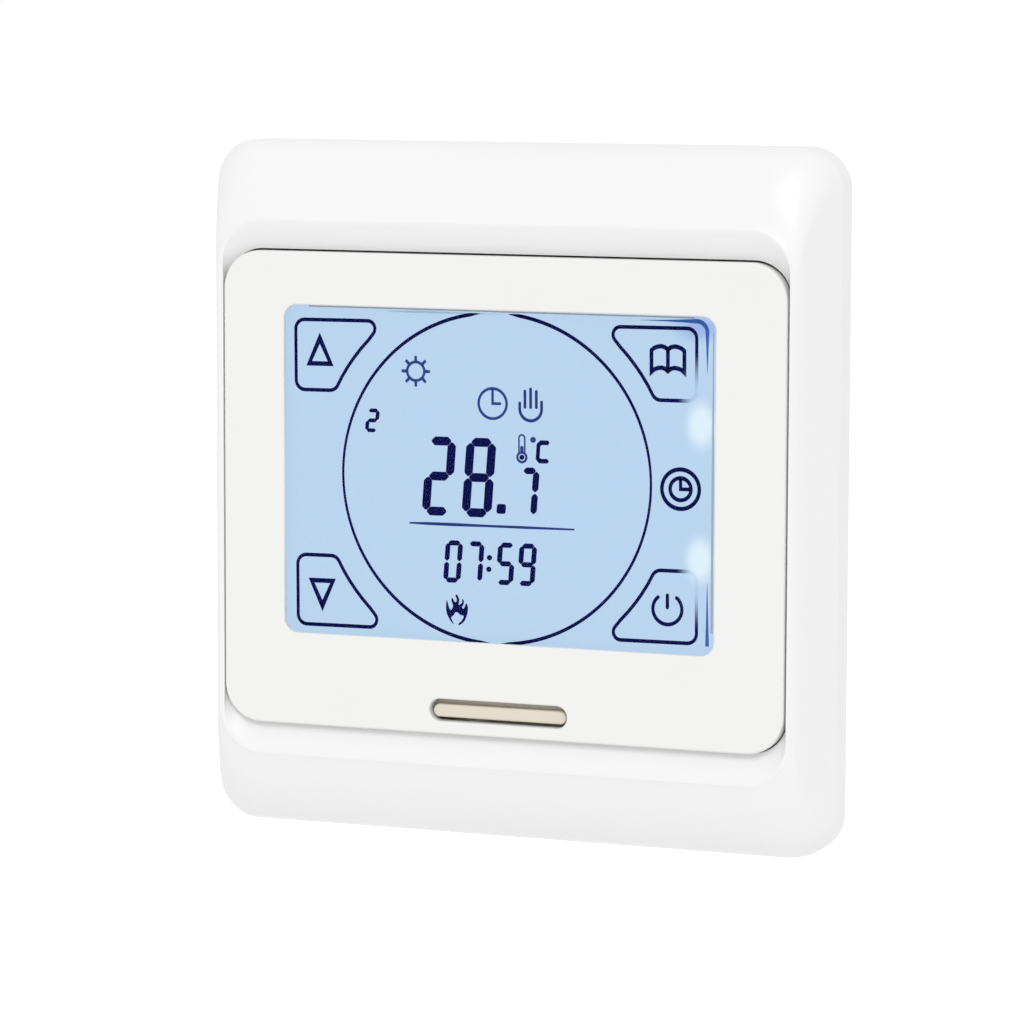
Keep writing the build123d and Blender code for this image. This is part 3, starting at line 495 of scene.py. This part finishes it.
def rounded(corners):
    """Closed outline from corners (x, z, radius), each one rounded by an arc."""
    degrees_per_step = 12
    outline = []
    count = len(corners)
    for index, (x, z, radius) in enumerate(corners):
        corner = Vector((x, z))
        if radius == 0:
            outline.append(corner)
            continue
        before = (Vector(corners[index - 1][:2]) - corner).normalized()
        after = (Vector(corners[(index + 1) % count][:2]) - corner).normalized()
        half = before.angle(after) / 2
        centre = corner + (before + after).normalized() * radius / math.sin(half)
        first = corner + before * radius / math.tan(half) - centre
        turn = first.angle_signed(corner + after * radius / math.tan(half) - centre)
        steps = max(3, round(abs(math.degrees(turn)) / degrees_per_step))
        for step in range(steps + 1):
            swing = -turn * step / steps
            outline.append(centre + Vector((
                first.x * math.cos(swing) - first.y * math.sin(swing),
                first.x * math.sin(swing) + first.y * math.cos(swing),
            )))
    return outline


# Strokes come out a little wider up and down than across, and MITRE_FLOOR keeps sharp
# corners from running far out
PEN = Vector((0.93, 1.1))
MITRE_FLOOR = 0.35


def beside(points, distances, closed):
    """The line moved sideways by a distance at each point, with mitred corners."""
    moved = []
    count = len(points)
    for index, point in enumerate(points):
        ways = []
        if closed or index > 0:
            ways.append((point - points[index - 1]).normalized())
        if closed or index < count - 1:
            ways.append((points[(index + 1) % count] - point).normalized())
        mean = sum(ways, Vector((0.0, 0.0))).normalized()
        mitre = 1 / max(MITRE_FLOOR, mean.dot(ways[0]))
        moved.append(point + PEN * Vector((-mean.y, mean.x)) * distances[index] * mitre)
    return moved


def ring(points, width):
    """Island along a closed line of even width."""
    points = [Vector(point) for point in points]
    sides = [beside(points, [side * width / 2] * len(points), True) for side in (-1, 1)]
    return tuple(sides)


def stroke(points, width, cap_steps=6):
    """Island along an open line of even width with round ends."""
    points = [Vector(point) for point in points]
    left = beside(points, [width / 2] * len(points), False)
    right = beside(points, [-width / 2] * len(points), False)
    outline = list(left)
    for end, start_side, back in ((points[-1], left[-1], right[::-1]), (points[0], right[0], [])):
        spoke = start_side - end
        for step in range(1, cap_steps):
            swing = -math.pi * step / cap_steps
            outline.append(end + Vector((
                spoke.x * math.cos(swing) - spoke.y * math.sin(swing),
                spoke.x * math.sin(swing) + spoke.y * math.cos(swing),
            )))
        outline.extend(back)
    return (outline, None)


def tapered(points, widths):
    """Island along an open line whose width changes from point to point."""
    points = [Vector(point) for point in points]
    left = beside(points, [width / 2 for width in widths], False)
    right = beside(points, [-width / 2 for width in widths], False)
    return (left + right[::-1], None)


def smooth_loop(points, steps=4):
    """Closed outline through the points on a smooth curve."""
    points = [Vector(point) for point in points]
    count = len(points)
    outline = []
    for index in range(count):
        p0, p1, p2, p3 = (points[(index + offset) % count] for offset in (-1, 0, 1, 2))
        for step in range(steps):
            t = step / steps
            outline.append(0.5 * (
                2 * p1 + (p2 - p0) * t + (2 * p0 - 5 * p1 + 4 * p2 - p3) * t ** 2
                + (3 * p1 - p0 - 3 * p2 + p3) * t ** 3
            ))
    return outline


def plate(name, islands, place, front, back):
    """Mesh object of flat islands, from depth front to depth back; place maps a point to (x, z)."""
    mesh = bmesh.new()

    def columns(outline):
        made = []
        for point in outline:
            x, z = place(point)
            made.append([mesh.verts.new((x * MM, y * MM, z * MM)) for y in (front, back)])
        return made

    def wall(posts):
        for one, two in zip(posts, posts[1:] + posts[:1]):
            mesh.faces.new((one[0], two[0], two[1], one[1]))

    for outline, hole in islands:
        rim = columns(outline)
        wall(rim)
        if hole is None:
            for side in (0, 1):
                mesh.faces.new([post[side] for post in rim])
            continue
        inner = columns(hole)
        wall(inner)
        for side in (0, 1):
            for index in range(len(rim)):
                ahead = (index + 1) % len(rim)
                posts = (rim[index], rim[ahead], inner[ahead], inner[index])
                mesh.faces.new([post[side] for post in posts])
    mesh.normal_update()
    bmesh.ops.triangulate(mesh, faces=mesh.faces[:], ngon_method="EAR_CLIP")
    bmesh.ops.recalc_face_normals(mesh, faces=mesh.faces[:])
    data = bpy.data.meshes.new(name)
    mesh.to_mesh(data)
    mesh.free()
    made = bpy.data.objects.new(name, data)
    bpy.context.scene.collection.objects.link(made)
    return made


# ---- Display artwork ---------------------------------------------------------
# The artwork has its own origin near the middle of the display, and is printed with a
# slight tilt about the middle of its dial.

ARTWORK_SHIFT = Vector((-0.12, -0.04))
ARTWORK_TILT = math.radians(0.4)
DIAL_CENTRE = Vector((-1.06, 2.28))
DIAL_RADIUS = 21.25
LINE = 0.44
ICON_LINE = 0.55
INK_GAP = 0.01


def on_display(point):
    """Where a point of the artwork lies on the display, as (x, z) in the frame."""
    offset = Vector(point) - DIAL_CENTRE
    c, s = math.cos(ARTWORK_TILT), math.sin(ARTWORK_TILT)
    turned = Vector((offset.x * c - offset.y * s, offset.x * s + offset.y * c))
    return turned + DIAL_CENTRE + ARTWORK_SHIFT


def glyph(name, islands, finish="ink"):
    """Piece of artwork, a thin layer between the display and the touch pane."""
    front = node_box("touch_panel")[1].y + INK_GAP
    made = plate(name, islands, on_display, front, LCD_PLANE - INK_GAP)
    made.data.materials.append(FINISHES[finish])
    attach(made, "front_module")
    return made


def segment_digit(corner, width, height, thickness, lit, slant=0.08, gap=0.03):
    """Seven-segment digit whose lower left outer corner is given; lit holds the letters a to g."""
    half = thickness / 2
    left, right = half, width - half
    low, middle, high = half, height / 2, height - half
    ends = {
        "a": ((left, high), (right, high)), "b": ((right, middle), (right, high)),
        "c": ((right, low), (right, middle)), "d": ((left, low), (right, low)),
        "e": ((left, low), (left, middle)), "f": ((left, middle), (left, high)),
        "g": ((left, middle), (right, middle)),
    }
    x0, z0 = corner
    islands = []
    for letter in lit:
        start, end = (Vector(point) for point in ends[letter])
        along = (end - start).normalized()
        across = Vector((-along.y, along.x)) * half
        start += along * gap
        end -= along * gap
        points = [
            start, start + along * half - across, end - along * half - across,
            end, end - along * half + across, start + along * half + across,
        ]
        leaning = [(x0 + point.x + slant * point.y, z0 + point.y, 0.22 * thickness) for point in points]
        islands.append((rounded(leaning), None))
    return islands


DIGITS = {
    "0": "abcdef", "1": "bc", "2": "abged", "3": "abgcd", "4": "fgbc", "5": "afgcd", "6": "afgedc",
    "7": "abc", "8": "abcdefg", "9": "abfgcd",
}


def dial_ring():
    """Two arcs that are widest near their ends, with a gap at the top and the bottom."""
    gap_top, gap_bottom, fade = 5.2, 1.4, 4.5
    thin, swell = 0.32, 0.12
    steps = 90
    arcs = []
    for start, end in ((-90 + gap_bottom, 90 - gap_top), (90 + gap_top, 270 - gap_bottom)):
        widths = []
        for step in range(steps + 1):
            angle = start + (end - start) * step / steps
            faded = min(1.0, (angle - start + 0.5) / fade, (end - angle + 0.5) / fade)
            widths.append(faded * (thin + swell * abs(math.sin(math.radians(angle)))))
        arcs.append(tapered(arc(DIAL_CENTRE, DIAL_RADIUS, start, end, steps), widths))
    glyph("dial_ring", arcs)


def corner_key(name, right, top, icon):
    """Corner key: a rectangle cut by a wide arc round the dial, with its icon."""
    middle = Vector((-1.3, 2.28))
    half_width, half_height, key_height = 27.6, 19.9, 9.12
    tip, arc_radius = 15.3, 24.56
    corner_radius, tip_radius = 1.25, 1.0
    x_sign = 1 if right else -1
    z_sign = 1 if top else -1

    def arc_x(z):
        return middle.x + x_sign * math.sqrt(arc_radius ** 2 - (z - middle.y) ** 2)

    far = middle.y + z_sign * half_height
    near = far - z_sign * key_height
    side = middle.x + x_sign * half_width
    curve = [far + (near - far) * share for share in (0.27, 0.4, 0.53, 0.66, 0.8)]
    outline = rounded(
        [(side, far, corner_radius), (middle.x + x_sign * tip, far, tip_radius)]
        + [(arc_x(z), z, 0) for z in curve]
        + [(arc_x(near), near, corner_radius), (side, near, corner_radius)]
    )
    glyph(name, [ring(outline, LINE)] + icon)


def triangle_icon(centre, rise):
    """Outlined triangle that points up, or down where rise is negative."""
    half_base, half_rise = 1.53, rise / 2
    x, z = centre
    corners = [(x - half_base, z - half_rise), (x + half_base, z - half_rise), (x, z + half_rise)]
    return [ring(corners if rise > 0 else corners[::-1], ICON_LINE)]


def book_icon(centre):
    """Open book seen from above."""
    x, z = centre
    half_width, half_height, line = 2.2, 1.35, 0.52
    bulge, skew, end_drop = 0.42, 0.8, 0.12

    def page_edge(level):
        """Upper or lower edge of both pages, from left to right."""
        page = [
            (half_width * share, level + bulge * math.sin(math.pi * share ** skew))
            for share in (0.18, 0.4, 0.62, 0.84)
        ]
        left = [(x - u, v) for u, v in page[::-1]]
        right = [(x + u, v) for u, v in page]
        ends = [(x + side * half_width, level - end_drop) for side in (-1, 1)]
        return [ends[0], *left, (x, level), *right, ends[1]]

    top = page_edge(z + half_height)
    foot = page_edge(z - half_height)
    spine = stroke([(x, z + half_height), (x, z - half_height)], line)
    return [ring(top + foot[::-1], line), spine]


def power_icon(centre):
    """Open ring with a bar in its gap."""
    x, z = centre
    gap_angle = 40
    opening = stroke(arc(centre, 1.95, 90 + gap_angle, 450 - gap_angle, 36), 0.45)
    return [opening, stroke([(x, z + 1.8), (x, z + 0.2)], 0.46)]


def corner_keys():
    icon_x = -25.5
    corner_key("key_up", False, True, triangle_icon((icon_x, 18.14), 3.3))
    corner_key("key_down", False, False, triangle_icon((icon_x + 0.08, -13.48), -3.3))
    corner_key("key_book", True, True, book_icon((22.46, 18.1)))
    corner_key("key_power", True, False, power_icon((22.4, -13.4)))


def clock_button():
    """Timer button: two rings with a clock's hands."""
    centre = Vector((24.16, 1.9))
    hands = [centre + Vector((0.0, 1.2)), centre, centre + Vector((1.2, 0.0))]
    glyph("clock_button", [
        ring(circle(centre, 2.5, 64), 0.5),
        ring(circle(centre, 1.4, 48), 0.48),
        stroke(hands, 0.44),
    ])


def sun_symbol():
    centre = Vector((-12.0, 15.84))
    rays = []
    for index in range(8):
        way = Vector((math.cos(index * math.pi / 4), math.sin(index * math.pi / 4)))
        rays.append(tapered([centre + way * 1.38, centre + way * 1.98], (0.4, 0.34)))
    glyph("sun_symbol", [ring(circle(centre, 1.2, 40), 0.34)] + rays, "thin_ink")


def day_digit():
    """Small figure for the day of the week."""
    glyph("day_digit", segment_digit((-19.22, 7.78), 1.8, 3.08, 0.5, DIGITS["2"], slant=0.12, gap=0.0))


def mode_symbols():
    """Clock and hand: programmed or manual running."""
    centre = Vector((-1.35, 11.98))
    hands = [centre + Vector((0.0, 1.72)), centre + Vector((0.0, 0.0)), centre + Vector((1.0, 0.0))]
    glyph("clock_symbol", [ring(circle(centre, 1.93, 48), 0.34), stroke(hands, 0.34)], "thin_ink")
    palm_centre = Vector((3.88, 11.42))
    fingers = [
        stroke([(palm_centre.x + offset, 11.62), (palm_centre.x + offset, top)], 0.38)
        for offset, top in ((-0.78, 13.7), (0.0, 14.0), (0.78, 13.7))
    ]
    palm = [palm_centre + Vector((-1.5, 0.75)), *arc(palm_centre, 1.5, 180, 360, 24)]
    palm.append(palm_centre + Vector((1.5, 0.95)))
    glyph("hand_symbol", [stroke(palm, 0.38)] + fingers, "hand_ink")


def temperature():
    """Room temperature with its unit and the thermometer sign."""
    islands = []
    for x, figure in ((-11.3, "2"), (-5.74, "8")):
        islands += segment_digit((x, -2.7), 4.12, 10.22, 1.14, DIGITS[figure])
    point = [(-0.88, -2.14), (0.36, -2.14), (0.46, -0.88), (-0.78, -0.88)]
    islands.append((rounded([(x, z, 0.3) for x, z in point]), None))
    islands += segment_digit((1.9, -2.55), 2.7, 6.5, 0.86, DIGITS["7"])
    glyph("temperature_digits", islands)
    letter = [(6.12, 7.18), (5.3, 7.18), (4.94, 6.85), (4.82, 5.15), (5.12, 4.82), (6.02, 4.82)]
    glyph("temperature_unit", [stroke(letter, 0.54)])
    glyph("degree_sign", [(circle((4.2, 7.5), 0.38, 20), None)], "thin_ink")

    bulb = Vector((2.66, 5.22))
    half_tube, shoulder, top = 0.4, 0.72, 7.68
    tube = [(bulb.x - half_tube, bulb.y + shoulder), *arc((bulb.x, top), half_tube, 180, 0, 12)]
    tube.append((bulb.x + half_tube, bulb.y + shoulder))
    liquid = stroke([(bulb.x, bulb.y + 0.9), (bulb.x, bulb.y + 1.25)], 0.48)
    glass = [ring(circle(bulb, 0.62, 32), 0.3), stroke(tube, 0.2)]
    glyph("thermometer_symbol", [*glass, liquid], "thin_ink")
    glyph("thermometer_bulb", [(circle(bulb, 0.33, 20), None)])


def clock_time():
    """Time of day under its rule."""
    rule_height = -3.78
    rule = [(x, rule_height) for x in (-13.0, -10.5, -7.0, -2.0, 3.0, 9.8)]
    glyph("separator_line", [tapered(rule, (0.18, 0.34, 0.38, 0.28, 0.32, 0.2))], "hand_ink")
    islands = []
    for x, figure in ((-8.34, "0"), (-5.36, "7"), (-1.06, "5"), (1.9, "9")):
        islands += segment_digit((x, -11.3), 2.4, 5.48, 0.66, DIGITS[figure], gap=0.02)
    islands += [(circle(centre, 0.35, 20), None) for centre in ((-1.86, -7.86), (-1.96, -9.36))]
    glyph("time_digits", islands)


def flame_symbol():
    """Sign that the heating is on."""
    centre = Vector((-6.4, -14.83))
    outline = [
        (-1.42, 1.2), (-1.53, 0.4), (-1.45, -0.4), (-1.2, -0.95), (-0.9, -1.45), (-0.5, -1.85),
        (-0.72, -1.35), (-0.84, -1.0), (-0.5, -0.68), (-0.28, -0.35), (-0.05, -0.28), (0.22, -0.4),
        (0.48, -0.62), (0.86, -0.68), (0.9, -0.95), (0.6, -1.4), (0.2, -1.78), (0.3, -1.95),
        (0.92, -1.5), (1.25, -0.9), (1.46, -0.2), (1.5, 0.45), (1.28, 0.92), (1.1, 0.5), (0.88, 0.2),
        (0.68, 0.38), (0.92, 0.85), (0.9, 1.3), (0.68, 1.45), (0.72, 1.05), (0.42, 0.75), (0.2, 0.72),
        (0.3, 1.35), (0.02, 1.95), (-0.22, 1.9), (-0.02, 1.4), (-0.12, 1.05), (-0.35, 1.05),
        (-0.7, 1.55), (-0.76, 1.15), (-0.56, 0.65), (-0.62, 0.3), (-0.85, -0.02), (-1.05, 0.1),
        (-1.22, 0.55),
    ]
    edge = smooth_loop([centre + Vector(point) for point in outline], 3)
    glyph("flame_symbol", [(edge, None)])


def border_lines():
    """Blue lines at the display's lit side, fading at their ends, and grey lines of painted shade along
    the window's top and right edges.
    """
    x, top, low, radius = 27.72, 23.1, -17.9, 1.4
    bend = arc((x - radius, top - radius), radius, 90, 0, 8)
    path = [(x - 9.0, top), (x - 5.5, top), (x - 3.0, top), *bend, (x, top - 3.0), (x, top - 6.5)]
    widths = [0.02, 0.18, 0.36] + [0.52] * len(bend) + [0.34, 0.02]
    glyph("display_border_upper", [tapered(path, widths)], "edge_ink")
    foot = [(x, low + 8.0), (x, low + 3.0), (x, low)]
    glyph("display_border_lower", [tapered(foot, (0.02, 0.32, 0.5))], "edge_ink")
    pale = [(-16.0, 23.5), (-12.0, 23.48), (0.5, 23.4)]
    glyph("display_border_top", [tapered(pale, (0.1, 0.24, 0.02))], "pale_ink")
    # Grey lines of painted shade, where the window's top and right edges shade the display.
    side_rim_shade = [(28.54, 21.6), (28.42, 2.0), (28.3, -16.2)]
    glyph("display_rim_shade_side", [tapered(side_rim_shade, (0.12, 0.26, 0.3))], "rim_shade_ink")
    top_rim_shade = [(-27.0, 23.94), (0.0, 23.73), (26.0, 23.52)]
    glyph("display_rim_shade_top", [tapered(top_rim_shade, (0.16, 0.16, 0.16))], "rim_shade_ink")


def draw_display():
    """All pieces of the display's artwork."""
    dial_ring()
    corner_keys()
    clock_button()
    sun_symbol()
    day_digit()
    mode_symbols()
    temperature()
    clock_time()
    flame_symbol()
    border_lines()


# ---- Rear markings -----------------------------------------------------------

def terminal_numbers():
    """Raised numbers 1 to 6 on the rear housing above the terminals."""
    low, high = node_box("rear_housing")
    block = node_box("terminal_block")
    height, width, line = 2.6, 1.5, 0.4
    raised, sunk = 0.25, 0.1
    above_block = 3.2
    base = block[1].z + above_block

    def as_read_from_behind(point):
        return (-point[0], point[1])

    for number in range(1, 7):
        screw_low, screw_high = node_box(f"terminal_screw_{number}")
        middle = -(screw_low.x + screw_high.x) / 2
        corner = (middle - width / 2, base)
        islands = segment_digit(corner, width, height, line, DIGITS[str(number)], slant=0, gap=0.01)
        name = f"terminal_number_{number}"
        made = plate(name, islands, as_read_from_behind, high.y - sunk, high.y + raised)
        made.data.materials.append(FINISHES["housing"])
        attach(made, "base")


# ---- Room, light and camera --------------------------------------------------

def room():
    """Pale floor well below the part, in even white light."""
    world = bpy.data.worlds.new("studio")
    bpy.context.scene.world = world
    world.use_nodes = True
    background = world.node_tree.nodes["Background"]
    background.inputs["Color"].default_value = (1.0, 1.0, 1.0, 1.0)
    background.inputs["Strength"].default_value = 1.0

    floor_z, half_side = -0.25, 12.0
    signs = ((-1, -1), (1, -1), (1, 1), (-1, 1))
    corners = [(x * half_side, y * half_side, floor_z) for x, y in signs]
    mesh = bpy.data.meshes.new("floor")
    mesh.from_pydata(corners, [], [(0, 1, 2, 3)])
    floor = bpy.data.objects.new("floor", mesh)
    bpy.context.scene.collection.objects.link(floor)
    paper = Finish("floor_paper", Roughness=0.9)
    paper.colour(paper.mix(paper.noise(400.0), (0.69, 0.69, 0.69, 1), (0.71, 0.71, 0.71, 1)))
    paper.shader.inputs["Emission Color"].default_value = (1.0, 1.0, 1.0, 1.0)
    paper.shader.inputs["Emission Strength"].default_value = 0.32
    mesh.materials.append(paper.material)


def sun_light(name, direction, strength, spread):
    """Distant soft light from a direction, spread over an angle in degrees."""
    data = bpy.data.lights.new(name, "SUN")
    data.energy = strength
    data.angle = math.radians(spread)
    lamp = bpy.data.objects.new(name, data)
    lamp.rotation_mode = "QUATERNION"
    lamp.rotation_quaternion = Vector(direction).to_track_quat("Z", "Y")
    bpy.context.scene.collection.objects.link(lamp)


def camera():
    """Long lens a little to the right of the face and a little above it."""
    azimuth, elevation, roll = (math.radians(angle) for angle in (22.01, 6.38, 0.18))
    distance, target = 584.88, Vector((-2.90, 0.0, -3.09))
    data = bpy.data.cameras.new("camera")
    data.sensor_width = 36.0
    data.lens = 157.9
    data.clip_start = 0.01
    data.clip_end = 60.0
    made = bpy.data.objects.new("camera", data)
    bpy.context.scene.collection.objects.link(made)
    back = Vector((
        math.sin(azimuth) * math.cos(elevation),
        -math.cos(azimuth) * math.cos(elevation),
        math.sin(elevation),
    ))
    made.location = (target + back * distance) * MM
    made.rotation_mode = "QUATERNION"
    made.rotation_quaternion = (-back).to_track_quat("-Z", "Y") @ Quaternion((0, 0, 1), roll)
    bpy.context.scene.camera = made


dress_nodes()
paint_details()
draw_display()
terminal_numbers()
room()
sun_light("key_light", (0.246, -0.716, 0.653), 1.08, 30.0)
camera()
bpy.context.scene.view_settings.view_transform = "Standard"
